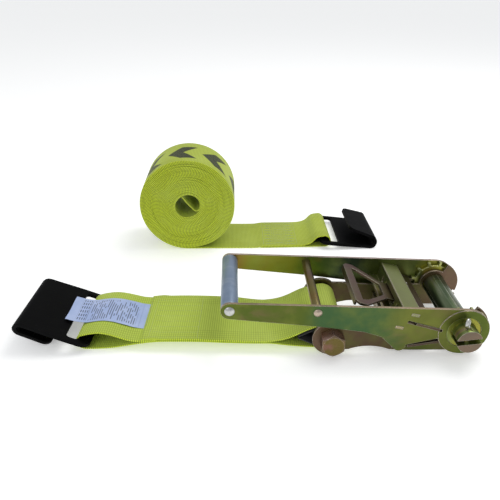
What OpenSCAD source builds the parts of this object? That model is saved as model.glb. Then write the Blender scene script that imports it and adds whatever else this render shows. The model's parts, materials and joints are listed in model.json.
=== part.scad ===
// Ratchet tie-down set for 4 inch webbing: ratchet with short hooked strap, and a rolled long hooked strap.
// Everything is drawn about the winding axis (the hub): X runs along the ratchet, Y across the webbing.
// The finished set is then moved so that the origin is the centre of its footprint, on the resting plane.

/* [Webbing] */
// Width of both straps
web_w = 101.6; // [95:0.2:101.6]
// Thickness of one ply of webbing
web_t = 2.2; // [1.8:0.1:2.4]
// Outer radius of the rolled-up long strap
roll_r = 82.5; // [70:0.5:90]
// Radius of the hollow core of the roll
core_r = 20.5; // [14:0.5:26]

/* [Ratchet frame] */
// Height of the winding axis above the resting plane
hub_h = 39; // [39:0.5:41]
// Half of the clear width between the frame side plates
frame_in = 53.5; // [52.5:0.1:53.5]
// Thickness of a frame side plate
frame_t = 4; // [3.5:0.1:4]
// Radius of the locking lobes at the winding end of the frame
lobe_r = 35; // [34:0.5:35.5]
// Radius of the rounded anchor end of the frame
anchor_end_r = 25; // [22:0.5:25]

/* [Handle] */
// Distance from winding axis to grip, along the handle
grip_x = -296.8; // [-310:1:-280]
// Height of the grip above the winding axis, handle closed
grip_z = 36.4; // [34:0.5:38]
// Outer radius of the grip tube
grip_r = 11.1; // [9:0.1:12]
// Thickness of a handle side plate
handle_t = 3.7; // [3:0.1:3.7]
// Radius of the rounded winding end of the handle
handle_end_r = 33.1; // [32:0.1:34]

/* [Winding gear] */
// Tip radius of the ratchet wheel teeth
gear_tip_r = 33; // [32:0.5:33]
// Root radius of the ratchet wheel teeth
gear_root_r = 27; // [26:0.5:27.5]
// Thickness of a ratchet wheel
gear_t = 5; // [4:0.5:5]
// Radius of the two half-round mandrel bars
mandrel_r = 15.75; // [14:0.25:15.75]
// Width of the slot between the mandrel bars
mandrel_slot = 7; // [5:0.5:8]
// How far the slot is turned from horizontal
mandrel_turn = 6; // [0:1:10]

/* [Pawls] */
// Thickness of both pawls
pawl_t = 3.5; // [3:0.1:3.5]

/* [Flat hooks] */
// Width of a flat hook
hook_w = 120; // [114:1:124]
// Thickness of hook plate
hook_t = 5; // [4:0.5:5.5]
// Inner radius of the hook bend
hook_bend_r = 6.5; // [5:0.5:7.5]

/* [Hidden] */
$fn = 64;

gap = 0.1;                                    // running clearance between turning faces
fit_gap = 0.2;                                // clearance of sliding plates in their slots
frame_out = frame_in + frame_t;
gear_in = frame_out + 0.4;
gear_out = gear_in + gear_t;
handle_in = gear_out + 0.4;
handle_out = handle_in + handle_t;
boss_t = 1;                                   // raised disc round the handle's bearing hole
bearing_r = 22;
web_half = web_w / 2;
merge_step = 0.02;                            // flat and round faces overlap by this where they run together

// The set's origin, in hub coordinates
set_x = -272.5;
set_y = 136;

// Anchor bolt at the strap end of the frame
bolt_x = -166;
bolt_z = -14;
bolt_r = 9.5;
bolt_af = 28.6;
bolt_head_h = 17.5;
nut_h = 15;
spacer_r = 15;
sleeve_t = 1.8;

// Drive pawl: it slides along a line that slopes down to the right and passes below the hub
drive_slope = -17.2;
drive_drop = 5.54;
drive_tip = 30.2;
drive_ear_end = 63;
drive_slot_in = 27.8;
drive_slot_out = 75;
drive_bridge = 36.5;

// Lock pawl: its line slopes up to the right
lock_slope = 8.6;
lock_drop = 13.55;
lock_tip = 27;
lock_end = 70.8;
lock_slot_in = 25;
lock_slot_out = 81.5;
lock_bridge = 36.5;
web_plate_at = 86;                            // where the frame's cross web stands on the lock pawl's line
web_plate_t = 4;

// Pawl springs, each in a notch of its pawl and over a guide finger
spring_y = 36;
spring_r = 4.5;
wire_r = 0.75;
notch_w = 11.5;
notch_deep = 18;
finger_w = 4;

// Z-shaped bracket that joins the handle plates
bracket_x = -83;
bracket_z = 6.8;
bracket_slope = -12.5;
bracket_t = 3.5;
bracket_h = 25;
bracket_top_l = 23.5;
bracket_low_l = 12;
window_half = 22;

rod_x = -187.3;
rod_z = 32.2;
rod_r = 6;

mandrel_end = 89;
cotter_y = 78;
cotter_r = 2.9;
gear_teeth = 12;
gear_hub_out = handle_out + 0.3;

// Short strap: loop round the anchor bolt, doubled body, loop round the hook's bar
merge_x = -244;
merge_z = -24;
strap_drift = -3;                             // sideways lie of the strap beyond the merge
strap_len = 176;
hook_bar_x = -243;                            // hook bar, measured from the merge
tag_len = 98;
tag_w = 56;
tag_t = 0.6;

// Hook plan
bar_w = 16;
hook_slot_w = 17;
hook_slot_half = 52.5;
hook_plate_l = 81;                            // bar centre to bend centre
tongue_l = 42;
tongue_open = 12;                             // angle between tongue and plate
tongue_tip_w = 90;
bar_loop_r = 9.2;
bar_h = 0.2 + bar_loop_r + web_t;             // height of a hook's bar, held up by the webbing under it

// Where the tongue's tip is, from the bar's centre along and below the plate
bend_outer = hook_bend_r + hook_t;
bend_drop = hook_bend_r + hook_t / 2;
tip_back = hook_plate_l - tongue_l * cos(tongue_open) + bend_outer * sin(tongue_open);
tip_drop = bend_drop + tongue_l * sin(tongue_open) + bend_outer * cos(tongue_open);

// The short strap's hook stands on that tip; the long strap's hook lies on the outside of its bend
short_hook_tilt = atan2(tip_drop, tip_back) - asin((bar_h - 0.2) / norm([tip_back, tip_drop]));
long_hook_tilt = asin((bar_h - 0.2 - hook_t / 2) / hook_plate_l);

// Long strap
roll_x = -370;
roll_z = roll_r - hub_h;
long_y = 301.6;
long_bar_x = -129;

// ---- helpers ----

// Extrudes a profile drawn in X and Z from y0 to y1
module across(y0, y1) {
    translate([0, y1, 0])
        rotate([90, 0, 0])
            linear_extrude(y1 - y0)
                children();
}

module both_sides() {
    children();
    mirror([0, 1, 0])
        children();
}

// A pie slice of radius r between two angles
module slice(r, from, to) {
    far = 2 * r;
    mid = (from + to) / 2;
    intersection() {
        circle(r);
        polygon([
            [0, 0],
            far * [cos(from), sin(from)],
            far * [cos(mid), sin(mid)],
            far * [cos(to), sin(to)]
        ]);
    }
}

// A rectangle on a pawl's sliding line: from one distance to another out from the hub
module on_line(from, to, drop, thick) {
    translate([-to, -drop - thick / 2])
        square([to - from, thick]);
}

// A closed loop of webbing: a circle drawn out to a point at tip. The wedge stops just inside the circle.
module teardrop(r, tip) {
    reach = norm(tip);
    aim = atan2(tip[1], tip[0]);
    lean = acos(r / reach);
    base = r - merge_step;
    circle(r);
    polygon([
        tip,
        base * [cos(aim + lean), sin(aim + lean)],
        base * [cos(aim - lean), sin(aim - lean)]
    ]);
}

// A straight run of webbing between two points of a profile
module run(a, b, thick) {
    dir = (b - a) / norm(b - a);
    side = thick / 2 * [-dir[1], dir[0]];
    polygon([a + side, b + side, b - side, a - side]);
}

// A helical spring along +X, starting at the origin
module coil_spring(length, turns) {
    rotate([0, 90, 0])
        linear_extrude(length, twist = 360 * turns, slices = 12 * turns, $fn = 6)
            translate([spring_r - wire_r, 0])
                scale([1, 1.6])
                    circle(wire_r, $fn = 6);
}

// ---- frame ----

module frame_arm() {
    polygon([
        [bolt_x, 4.5], [-128, 3.5], [-91, 0.3], [-12, -0.5],
        [29, -21], [17, -35], [-60, -34], [-90, -32.5], [-156, -31]
    ]);
}

// Locking lobe, its notch and the stop tooth below it
module frame_cam() {
    circle(21.5);
    slice(31.5, -50, 50);
    slice(lobe_r, -20.5, 60);
    slice(38.5, -38, -27.6);
}

module frame_holes() {
    translate([-118, -96.5])
        circle(70);
    circle(mandrel_r + gap);
    translate([bolt_x, bolt_z])
        circle(bolt_r + gap);
    rotate(lock_slope)
        on_line(lock_slot_in, lock_slot_out, lock_drop, pawl_t + 2 * fit_gap);
    rotate(lock_slope)
        on_line(web_plate_at - gap, web_plate_at + web_plate_t + gap, lock_drop - 2, 10.2);
}

module frame_side() {
    difference() {
        union() {
            across(frame_in, frame_out)
                translate([bolt_x, bolt_z])
                    circle(anchor_end_r);
            across(frame_in, frame_out)
                frame_arm();
            across(frame_in, frame_out)
                frame_cam();
        }
        across(frame_in - 1, frame_out + 1)
            frame_holes();
    }
}

module frame_side_front() {
    color([0.50, 0.48, 0.36])
        mirror([0, 1, 0])
            frame_side();
}

module frame_side_back() {
    color([0.50, 0.48, 0.36])
        frame_side();
}

// Cross web that ties the frame plates and backs the lock pawl's springs
module frame_cross_web() {
    slot_half = finger_w / 2 + 1;
    color([0.47, 0.42, 0.32])
        rotate([0, -lock_slope, 0])
            translate([-web_plate_at - web_plate_t, 0, -lock_drop])
                difference() {
                    union() {
                        translate([0, -frame_in + gap, -7])
                            cube([web_plate_t, 2 * (frame_in - gap), 21]);
                        translate([0, -frame_out, -3])
                            cube([web_plate_t, 2 * frame_out, 10]);
                    }
                    for (side = [-1, 1])
                        translate([-1, side * spring_y - slot_half, -pawl_t / 2 - 0.4])
                            cube([web_plate_t + 2, 2 * slot_half, pawl_t + 0.8]);
                }
}

module hexagon(af) {
    circle(af / sqrt(3), $fn = 6);
}

module anchor_bolt() {
    color([0.62, 0.52, 0.42])
        translate([bolt_x, 0, bolt_z]) {
            across(-frame_out - 0.2, 77)
                circle(bolt_r);
            intersection() {
                across(-frame_out - bolt_head_h, -frame_out - gap)
                    rotate(30)
                        hexagon(bolt_af);
                translate([0, -frame_out - bolt_head_h, 0])
                    rotate([-90, 0, 0])
                        cylinder(r1 = bolt_af / 2 - 0.9, r2 = bolt_af / 2 + 29, h = bolt_head_h);
            }
        }
}

module anchor_nut() {
    color([0.62, 0.52, 0.42])
        translate([bolt_x, 0, bolt_z])
            across(frame_out + gap, frame_out + nut_h)
                difference() {
                    rotate(30)
                        hexagon(bolt_af);
                    circle(bolt_r + 0.05);
                }
}

module anchor_spacer() {
    color([0.60, 0.60, 0.55])
        translate([bolt_x, 0, bolt_z])
            across(-frame_in + gap, frame_in - gap)
                difference() {
                    circle(spacer_r);
                    circle(bolt_r + gap);
                }
}

// ---- handle ----

module handle_outline() {
    lobe = [-80, -19.5];
    translate([grip_x, grip_z])
        circle(grip_r);
    circle(handle_end_r);
    translate(lobe)
        circle(8);
    polygon([
        [grip_x + 0.5, grip_z + grip_r], [1.5, handle_end_r], [0, -5], [-31.7, -9.1],
        [-71.5, -18.3], lobe, [-86.5, -24], [-104.2, -5.7], [-127.7, 2.7], [-187.5, 12],
        [grip_x - 1, grip_z - grip_r]
    ]);
}

module handle_side() {
    difference() {
        union() {
            across(handle_in, handle_out)
                handle_outline();
            across(handle_out - 1, handle_out + boss_t)
                circle(handle_end_r - 0.6);
        }
        across(handle_in - 1, handle_out + boss_t + 1)
            circle(bearing_r);
        across(handle_in - 1, handle_out + boss_t + 1)
            rotate(drive_slope)
                on_line(drive_slot_in, drive_slot_out, drive_drop, pawl_t + 2 * fit_gap);
        across(handle_in - 1, handle_out + 1)
            translate([rod_x, rod_z])
                circle(rod_r - 2 + gap);
        across(handle_in - 1, handle_out + 1)
            translate([grip_x, grip_z])
                circle(5 + gap);
        translate([bracket_x, 0, bracket_z])
            rotate([0, -bracket_slope, 0])
                bracket_tabs(gap);
    }
}

module handle_side_front() {
    color([0.42, 0.47, 0.24])
        mirror([0, 1, 0])
            handle_side();
}

module handle_side_back() {
    color([0.42, 0.47, 0.24])
        handle_side();
}

module handle_grip_tube() {
    color([0.50, 0.56, 0.66])
        translate([grip_x, 0, grip_z])
            across(-handle_in + gap, handle_in - gap)
                difference() {
                    circle(grip_r);
                    circle(7);
                }
}

// A rod with a thinner end through each handle plate and a domed rivet head outside it
module riveted_rod(body_r, end_r, head_r, head_h) {
    dome_r = (head_r * head_r + head_h * head_h) / (2 * head_h);
    across(-handle_in + gap, handle_in - gap)
        circle(body_r);
    across(-handle_out - gap, handle_out + gap)
        circle(end_r);
    both_sides()
        intersection() {
            translate([0, handle_out + gap + head_h - dome_r, 0])
                sphere(dome_r);
            across(handle_out + gap, handle_out + 2 * head_h)
                circle(head_r + 1);
        }
}

module grip_rod() {
    color([0.78, 0.80, 0.80])
        translate([grip_x, 0, grip_z])
            riveted_rod(6.4, 5, 6.6, 2.6);
}

module handle_cross_rod() {
    color([0.48, 0.42, 0.30])
        translate([rod_x, 0, rod_z])
            riveted_rod(rod_r, rod_r - 2, 5.6, 2.4);
}

// The tabs of the Z bracket, that pass through the handle plates
module bracket_tabs(grow) {
    for (at = [[8.5, bracket_h - bracket_t], [-bracket_low_l + 6.5, 0]])
        translate([at[0] - grow, handle_in - 2, at[1] - grow])
            cube([10 + 2 * grow, handle_t + 2.2, bracket_t + 2 * grow]);
}

// Z-shaped bracket: upper flange, upright web with a window for the pawl's neck, lower flange
module pawl_bracket() {
    neck_z = 11.2;
    color([0.55, 0.56, 0.36])
        translate([bracket_x, 0, bracket_z])
            rotate([0, -bracket_slope, 0])
                difference() {
                    union() {
                        translate([0, -handle_in + gap, 0])
                            cube([bracket_t, 2 * (handle_in - gap), bracket_h]);
                        translate([0, -handle_in + gap, bracket_h - bracket_t])
                            cube([bracket_top_l, 2 * (handle_in - gap), bracket_t]);
                        translate([-bracket_low_l, -handle_in + gap, 0])
                            cube([bracket_low_l + 1, 2 * (handle_in - gap), bracket_t]);
                        both_sides()
                            bracket_tabs(0);
                    }
                    translate([-1, -window_half - 1, neck_z - 4])
                        cube([bracket_t + 2, 2 * window_half + 2, 8.5]);
                    for (side = [-1, 1])
                        translate([-1, side * spring_y - 3, neck_z - 4])
                            cube([bracket_t + 2, 6, 8.5]);
                }
}

// ---- pawls and springs ----

// Plan of a pawl, drawn with X out from the hub: a bridge between ears, two spring notches with fingers
module pawl_plan(tip, bridge, ear_end, ear_half) {
    difference() {
        translate([tip, -ear_half])
            square([ear_end - tip, 2 * ear_half]);
        translate([tip - 1, -gear_in + 0.2])
            square([bridge - tip + 1, 2 * (gear_in - 0.2)]);
        for (side = [-1, 1])
            translate([ear_end - notch_deep, side * spring_y - notch_w / 2])
                square([notch_deep + 1, notch_w]);
    }
    for (side = [-1, 1])
        translate([ear_end - notch_deep - 1, side * spring_y - finger_w / 2])
            square([notch_deep + 4, finger_w]);
}

// Plan of the pull loop and its neck
module pull_loop_plan(ear_end) {
    neck = 20;
    mouth = 52;
    difference() {
        polygon([
            [ear_end - 1, -neck], [92, -neck - 1], [127, -mouth], [137, -mouth], [142, -mouth + 6],
            [142, mouth - 6], [137, mouth], [127, mouth], [92, neck + 1], [ear_end - 1, neck]
        ]);
        polygon([[95, -14], [123, -38.5], [131, -41], [131, 41], [123, 38.5], [95, 14]]);
    }
}

// Lays a plan on a pawl's line: plan X becomes the way out from the hub, plan Y stays Y
module on_pawl_plane(slope, drop) {
    rotate([0, -slope, 0])
        translate([0, 0, -drop - pawl_t / 2])
            mirror([1, 0, 0])
                linear_extrude(pawl_t)
                    children();
}

module drive_pawl() {
    lip = 5;
    color([0.52, 0.46, 0.36]) {
        on_pawl_plane(drive_slope, drive_drop) {
            pawl_plan(drive_tip, drive_bridge, drive_ear_end, handle_out + 0.5);
            pull_loop_plan(drive_ear_end);
        }
        rotate([0, -drive_slope, 0])
            translate([-142, -46, -drive_drop - pawl_t / 2 - lip])
                cube([3, 92, lip + 1]);
    }
}

module lock_pawl() {
    color([0.45, 0.40, 0.32])
        on_pawl_plane(lock_slope, lock_drop)
            pawl_plan(lock_tip, lock_bridge, lock_end, gear_out);
}

module springs_on(slope, drop, from, to, turns) {
    color([0.75, 0.75, 0.72])
        for (side = [-1, 1])
            rotate([0, -slope, 0])
                translate([-to, side * spring_y, -drop])
                    coil_spring(to - from, turns);
}

module drive_pawl_springs() {
    springs_on(drive_slope, drive_drop, drive_ear_end - notch_deep + 1, 77.5, 9);
}

module lock_pawl_springs() {
    springs_on(lock_slope, lock_drop, lock_end - notch_deep + 1, web_plate_at - 1.2, 9);
}

// ---- mandrel ----

module mandrel_half(side) {
    color([0.40, 0.50, 0.42])
        rotate([0, -mandrel_turn, 0])
            difference() {
                across(-mandrel_end, mandrel_end)
                    intersection() {
                        circle(mandrel_r);
                        translate([-mandrel_r, side > 0 ? mandrel_slot / 2 : -mandrel_r - mandrel_slot / 2])
                            square([2 * mandrel_r, mandrel_r]);
                    }
                for (end = [-1, 1])
                    translate([0, end * cotter_y, side > 0 ? 0 : -mandrel_r - 1])
                        cylinder(r = cotter_r + gap, h = mandrel_r + 1);
            }
}

module mandrel_bar_upper() {
    mandrel_half(1);
}

module mandrel_bar_lower() {
    mandrel_half(-1);
}

// One tooth: an upright working face, a flat tip and a sloped back
module tooth() {
    face_tip = 169.2;
    face_root = 170.9;
    back_tip = 164.2;
    back_root = 161.5;
    inner = gear_root_r - 1;
    polygon([
        inner * [cos(face_root), sin(face_root)],
        gear_root_r * [cos(face_root), sin(face_root)],
        gear_tip_r * [cos(face_tip), sin(face_tip)],
        gear_tip_r * [cos(back_tip), sin(back_tip)],
        gear_root_r * [cos(back_root), sin(back_root)],
        inner * [cos(back_root), sin(back_root)]
    ]);
}

module half_round_holes() {
    grow = 0.05;
    rotate(mandrel_turn)
        difference() {
            circle(mandrel_r + grow);
            square([2 * mandrel_r + 2, mandrel_slot - 2 * grow], center = true);
        }
}

module ratchet_wheel() {
    difference() {
        union() {
            across(gear_in, gear_out) {
                circle(gear_root_r);
                for (i = [0 : gear_teeth - 1])
                    rotate(360 / gear_teeth * i)
                        tooth();
            }
            across(gear_in, gear_hub_out)
                circle(bearing_r - gap);
        }
        across(gear_in - 1, gear_hub_out + 1)
            half_round_holes();
    }
}

module ratchet_wheel_front() {
    color([0.55, 0.55, 0.35])
        mirror([0, 1, 0])
            ratchet_wheel();
}

module ratchet_wheel_back() {
    color([0.55, 0.55, 0.35])
        ratchet_wheel();
}

// A split pin through both mandrel bars: eye on top, legs spread below
module cotter_pin() {
    eye_r = 4.2;
    leg = 8;
    top = mandrel_r + 0.3;
    bottom = -mandrel_r - 0.6;
    translate([0, 0, bottom])
        cylinder(r = cotter_r, h = top - bottom + 1);
    translate([0, 0, top + eye_r + 1.2])
        rotate([90, 0, 50])
            rotate_extrude()
                translate([eye_r, 0])
                    circle(2.1);
    for (side = [-1, 1])
        translate([0, 0, bottom + 0.4])
            rotate([0, side * 118, 0])
                cylinder(r = 1.6, h = leg);
}

module cotter_pins() {
    color([0.85, 0.86, 0.84])
        for (end = [-1, 1])
            translate([0, end * cotter_y, 0])
                rotate([0, -mandrel_turn, 0])
                    cotter_pin();
}

// ---- short strap ----

merge = [merge_x, merge_z];
bolt_at = [bolt_x, bolt_z];
strap_loop_r = spacer_r + sleeve_t + 0.6;     // inside of the webbing loop round the bolt

// Puts what is drawn from the merge onwards at the strap's sideways lie
module beyond_merge() {
    translate([merge_x, 0, 0])
        rotate([0, 0, strap_drift])
            children();
}

module short_strap() {
    hook_at = [hook_bar_x, bar_h - hub_h];
    fold = [-strap_len, merge_z - 5];
    stack = 2 * web_t + 0.2;
    color([0.68, 0.76, 0.20]) {
        across(-web_half, web_half) {
            translate(bolt_at)
                difference() {
                    teardrop(strap_loop_r + web_t, merge - bolt_at);
                    teardrop(strap_loop_r, merge - bolt_at + [12, 0.8]);
                }
            run(merge + [8, 0], merge - [4, 0], stack);
        }
        beyond_merge()
            across(-web_half, web_half) {
                run([2, merge_z], fold - [8, 0.2], stack);
                translate(hook_at)
                    difference() {
                        teardrop(bar_loop_r + web_t, fold - hook_at);
                        teardrop(bar_loop_r, fold - hook_at - [12, 0]);
                    }
            }
    }
}

// Black wear sleeve that lines the loop round the anchor bolt
module short_strap_sleeve() {
    color([0.08, 0.08, 0.08])
        translate([bolt_x, 0, bolt_z])
            across(-web_half, web_half)
                difference() {
                    teardrop(spacer_r + 0.3 + sleeve_t, [-45, -4.5]);
                    teardrop(spacer_r + 0.3, [-39, -4]);
                }
}

module strap_tag() {
    color([0.66, 0.70, 0.92])
        beyond_merge()
            across(-tag_w / 2 + 4, tag_w / 2 + 4)
                run([-strap_len + 6, merge_z - 0.6], [-strap_len - tag_len, merge_z + 14], tag_t);
}

// ---- flat hooks ----

// Side profile of a flat hook: bar centre at the origin, plate along -X, tongue folded under it
module hook_profile() {
    start = 0.3;
    flat_t = hook_t - 2 * merge_step;
    translate([start - hook_plate_l, -flat_t / 2])
        square([hook_plate_l + bar_w / 2 - start, flat_t]);
    translate([-hook_plate_l, -bend_drop]) {
        difference() {
            slice(bend_outer, 84, 276 - tongue_open);
            circle(hook_bend_r);
        }
        rotate(-tongue_open)
            translate([start, merge_step - bend_outer])
                square([tongue_l - start, flat_t]);
    }
}

// Plan of a flat hook, as a prism that trims the extruded profile
module hook_plan() {
    half = hook_w / 2;
    back = -hook_plate_l - 20;
    polygon([
        [bar_w / 2, -half + 8], [bar_w / 2, half - 8], [bar_w / 2 - 5, half - 2], [-26, half],
        [back, half - 2], [back, -half + 2], [-26, -half], [bar_w / 2 - 5, -half + 2]
    ]);
}

module flat_hook() {
    inner_x = -hook_plate_l - 4;
    difference() {
        intersection() {
            across(-hook_w / 2, hook_w / 2)
                hook_profile();
            translate([0, 0, -80])
                linear_extrude(120)
                    hook_plan();
        }
        translate([-bar_w / 2 - hook_slot_w, -hook_slot_half, -hook_t])
            cube([hook_slot_w, 2 * hook_slot_half, 2 * hook_t]);
        both_sides()
            translate([0, 0, -hook_t / 2 - 70])
                linear_extrude(70)
                    polygon([
                        [inner_x, hook_w / 2], [inner_x + tongue_l + 8, tongue_tip_w / 2],
                        [40, tongue_tip_w / 2], [40, hook_w], [inner_x, hook_w]
                    ]);
    }
}

module short_strap_hook() {
    color([0.05, 0.05, 0.06])
        beyond_merge()
            translate([hook_bar_x, 0, bar_h - hub_h])
                rotate([0, short_hook_tilt, 0])
                    flat_hook();
}

module long_strap_hook() {
    color([0.05, 0.05, 0.06])
        translate([long_bar_x, long_y, bar_h - hub_h])
            rotate([0, 180 + long_hook_tilt, 0])
                flat_hook();
}

// ---- long strap ----

module long_strap_roll() {
    color([0.68, 0.76, 0.20])
        translate([roll_x, 0, roll_z])
            across(long_y - web_half, long_y + web_half)
                difference() {
                    circle(roll_r);
                    circle(core_r);
                }
}

module long_strap_tail() {
    floor_z = 0.1 - hub_h;
    start = [roll_x + 20, floor_z + web_t / 2];
    lift = [long_bar_x - 58, floor_z + web_t];
    doubled = [roll_x + 128, floor_z + web_t];
    bar = [long_bar_x, bar_h - hub_h];
    color([0.68, 0.76, 0.20])
        translate([0, long_y, 0]) {
            difference() {
                across(-web_half, web_half)
                    run(start, doubled + [2, -web_t / 2], web_t);
                across(-web_half - 1, web_half + 1)
                    translate([roll_x, roll_z])
                        circle(roll_r + 0.05);
            }
            across(-web_half, web_half) {
                run(doubled, lift + [8, 0.3], 2 * web_t);
                translate(bar)
                    difference() {
                        teardrop(bar_loop_r + web_t, lift - bar);
                        teardrop(bar_loop_r, lift - bar + [12, 0]);
                    }
            }
        }
}

module set_frame() {
    translate([-set_x, -set_y, hub_h])
        children();
}

set_frame() frame_side_front();
set_frame() frame_side_back();
set_frame() frame_cross_web();
set_frame() anchor_bolt();
set_frame() anchor_nut();
set_frame() anchor_spacer();
set_frame() handle_side_front();
set_frame() handle_side_back();
set_frame() handle_grip_tube();
set_frame() grip_rod();
set_frame() handle_cross_rod();
set_frame() pawl_bracket();
set_frame() drive_pawl();
set_frame() drive_pawl_springs();
set_frame() lock_pawl();
set_frame() lock_pawl_springs();
set_frame() mandrel_bar_upper();
set_frame() mandrel_bar_lower();
set_frame() ratchet_wheel_front();
set_frame() ratchet_wheel_back();
set_frame() cotter_pins();
set_frame() short_strap();
set_frame() short_strap_sleeve();
set_frame() strap_tag();
set_frame() short_strap_hook();
set_frame() long_strap_roll();
set_frame() long_strap_tail();
set_frame() long_strap_hook();
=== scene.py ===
import json
import math
import bpy
import bmesh
from mathutils import Matrix, Vector, noise


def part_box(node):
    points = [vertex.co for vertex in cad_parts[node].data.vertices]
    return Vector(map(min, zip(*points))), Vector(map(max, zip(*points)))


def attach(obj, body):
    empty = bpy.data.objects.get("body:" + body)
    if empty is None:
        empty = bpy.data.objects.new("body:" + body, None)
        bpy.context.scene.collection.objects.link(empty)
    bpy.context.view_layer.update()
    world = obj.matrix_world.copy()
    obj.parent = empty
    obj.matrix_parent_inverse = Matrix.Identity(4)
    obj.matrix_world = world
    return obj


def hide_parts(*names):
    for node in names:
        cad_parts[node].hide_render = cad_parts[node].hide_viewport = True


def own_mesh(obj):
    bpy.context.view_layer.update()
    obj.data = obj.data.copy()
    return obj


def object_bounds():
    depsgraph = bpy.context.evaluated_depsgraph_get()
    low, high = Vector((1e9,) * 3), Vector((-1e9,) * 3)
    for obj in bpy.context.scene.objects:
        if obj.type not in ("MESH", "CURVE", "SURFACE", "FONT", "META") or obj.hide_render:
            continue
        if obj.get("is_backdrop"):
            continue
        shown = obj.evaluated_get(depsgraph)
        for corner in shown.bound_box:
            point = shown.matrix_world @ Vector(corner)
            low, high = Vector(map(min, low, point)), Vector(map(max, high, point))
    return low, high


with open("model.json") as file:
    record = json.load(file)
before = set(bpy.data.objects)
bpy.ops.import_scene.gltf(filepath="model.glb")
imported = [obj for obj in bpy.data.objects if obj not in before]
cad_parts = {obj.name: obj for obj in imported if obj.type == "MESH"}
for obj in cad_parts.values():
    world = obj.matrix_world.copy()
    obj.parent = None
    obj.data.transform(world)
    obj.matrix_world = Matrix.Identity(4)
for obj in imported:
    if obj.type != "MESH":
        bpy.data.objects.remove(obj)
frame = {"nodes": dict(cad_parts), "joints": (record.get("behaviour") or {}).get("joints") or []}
cad_lo, cad_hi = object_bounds()
nodes = frame["nodes"]
joints = {j["name"]: j for j in frame["joints"]}

# Places and directions, from the record's joints and the CAD nodes' boxes
MM = 0.001
PLY = 2.1           # thickness of the webbing, in millimetres
hub = Vector(joints["mandrel_spin"]["pos_m"])
bolt = (Vector(joints["short_strap_swing"]["pos_m"]) - hub) / MM
short_bar = Vector(joints["short_hook_swing"]["pos_m"])
short_axis = Vector(joints["short_hook_swing"]["axis"])
long_bar = Vector(joints["long_hook_swing"]["pos_m"])
floor_z = cad_lo.z
roll_lo, roll_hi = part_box("long_strap_roll")
web_w = (roll_hi.y - roll_lo.y) / MM
drift = -math.atan2(short_axis.x, short_axis.y)


def row(x, y, z):
    """A point given in millimetres from the hub, in the row frame."""
    return hub + Vector((x, y, z)) * MM


# ---------------------------------------------------------------- materials

class Shader:
    """A small helper for node materials. Sockets are passed round as they are."""

    def __init__(self, name):
        self.mat = bpy.data.materials.new(name)
        self.mat.use_nodes = True
        self.tree = self.mat.node_tree
        self.tree.nodes.clear()
        out = self.tree.nodes.new("ShaderNodeOutputMaterial")
        self.bsdf = self.tree.nodes.new("ShaderNodeBsdfPrincipled")
        self.tree.links.new(self.bsdf.outputs[0], out.inputs[0])
        coords = self.tree.nodes.new("ShaderNodeTexCoord")
        self.place = coords.outputs["Object"]
        self.uv = coords.outputs["UV"]

    def put(self, socket, value):
        if isinstance(value, bpy.types.NodeSocket):
            self.tree.links.new(value, socket)
        elif isinstance(value, (tuple, list)) and socket.type == "RGBA":
            socket.default_value = tuple(value) + (1.0,) * (4 - len(value))
        else:
            socket.default_value = value

    def node(self, kind, inputs=None, **props):
        n = self.tree.nodes.new(kind)
        for key, value in props.items():
            setattr(n, key, value)
        for key, value in (inputs or {}).items():
            self.put(n.inputs[key], value)
        return n

    def math(self, op, a, b=0.0, c=0.0):
        return self.node("ShaderNodeMath", {0: a, 1: b, 2: c}, operation=op).outputs[0]

    def mul(self, first, *others):
        """The product of all the values."""
        for other in others:
            first = self.math("MULTIPLY", first, other)
        return first

    def linear(self, value, slope, offset):
        """slope * value + offset."""
        return self.math("MULTIPLY_ADD", value, slope, offset)

    def split(self, vector):
        return self.node("ShaderNodeSeparateXYZ", {0: vector}).outputs

    def true_normal(self):
        """The face's own normal, as x, y and z."""
        return self.split(self.node("ShaderNodeNewGeometry").outputs["True Normal"])

    def noise(self, scale, detail=3.0, rough=0.5, stretch=None, distort=0.0):
        where = self.place
        if stretch:
            where = self.node("ShaderNodeVectorMath", {0: where, 1: stretch}, operation="MULTIPLY").outputs[0]
        values = {"Vector": where, "Scale": scale, "Detail": detail, "Roughness": rough, "Distortion": distort}
        return self.node("ShaderNodeTexNoise", values).outputs["Fac"]

    def ramp(self, fac, stops, smooth=True):
        """A colour ramp; stops is a list of (position, colour)."""
        n = self.node("ShaderNodeValToRGB", {0: fac})
        ramp = n.color_ramp
        ramp.interpolation = "EASE" if smooth else "LINEAR"
        while len(ramp.elements) < len(stops):
            ramp.elements.new(0.5)
        for element, (at, colour) in zip(ramp.elements, stops):
            element.position = at
            element.color = tuple(colour) + (1.0,)
        return n.outputs["Color"]

    def between(self, value, lo, hi):
        """0 at lo, 1 at hi, and smooth between them."""
        n = self.node("ShaderNodeMapRange", {0: value, 1: lo, 2: hi, 3: 0.0, 4: 1.0}, interpolation_type="SMOOTHSTEP")
        return n.outputs[0]

    def blend(self, fac, a, b, mode="MIX"):
        n = self.node("ShaderNodeMix", data_type="RGBA", blend_type=mode)
        self.put(n.inputs[0], fac)
        self.put(n.inputs[6], a)
        self.put(n.inputs[7], b)
        return n.outputs[2]

    def bump(self, height, distance, strength=1.0, below=None):
        inputs = {"Height": height, "Distance": distance, "Strength": strength}
        if below is not None:
            inputs["Normal"] = below
        return self.node("ShaderNodeBump", inputs).outputs[0]

    def edges(self, radius):
        """Rounded normals for hard edges, and a mask that is 1 on those edges."""
        soft = self.node("ShaderNodeBevel", {"Radius": radius}, samples=4).outputs[0]
        true = self.node("ShaderNodeNewGeometry").outputs["True Normal"]
        dot = self.node("ShaderNodeVectorMath", {0: soft, 1: true}, operation="DOT_PRODUCT").outputs["Value"]
        return soft, self.between(dot, 0.999, 0.9)

    def finish(self, **values):
        """Sets the shader's inputs, with _ for each space in their names, and returns the material."""
        for key, value in values.items():
            self.put(self.bsdf.inputs[key.replace("_", " ")], value)
        return self.mat


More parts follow.
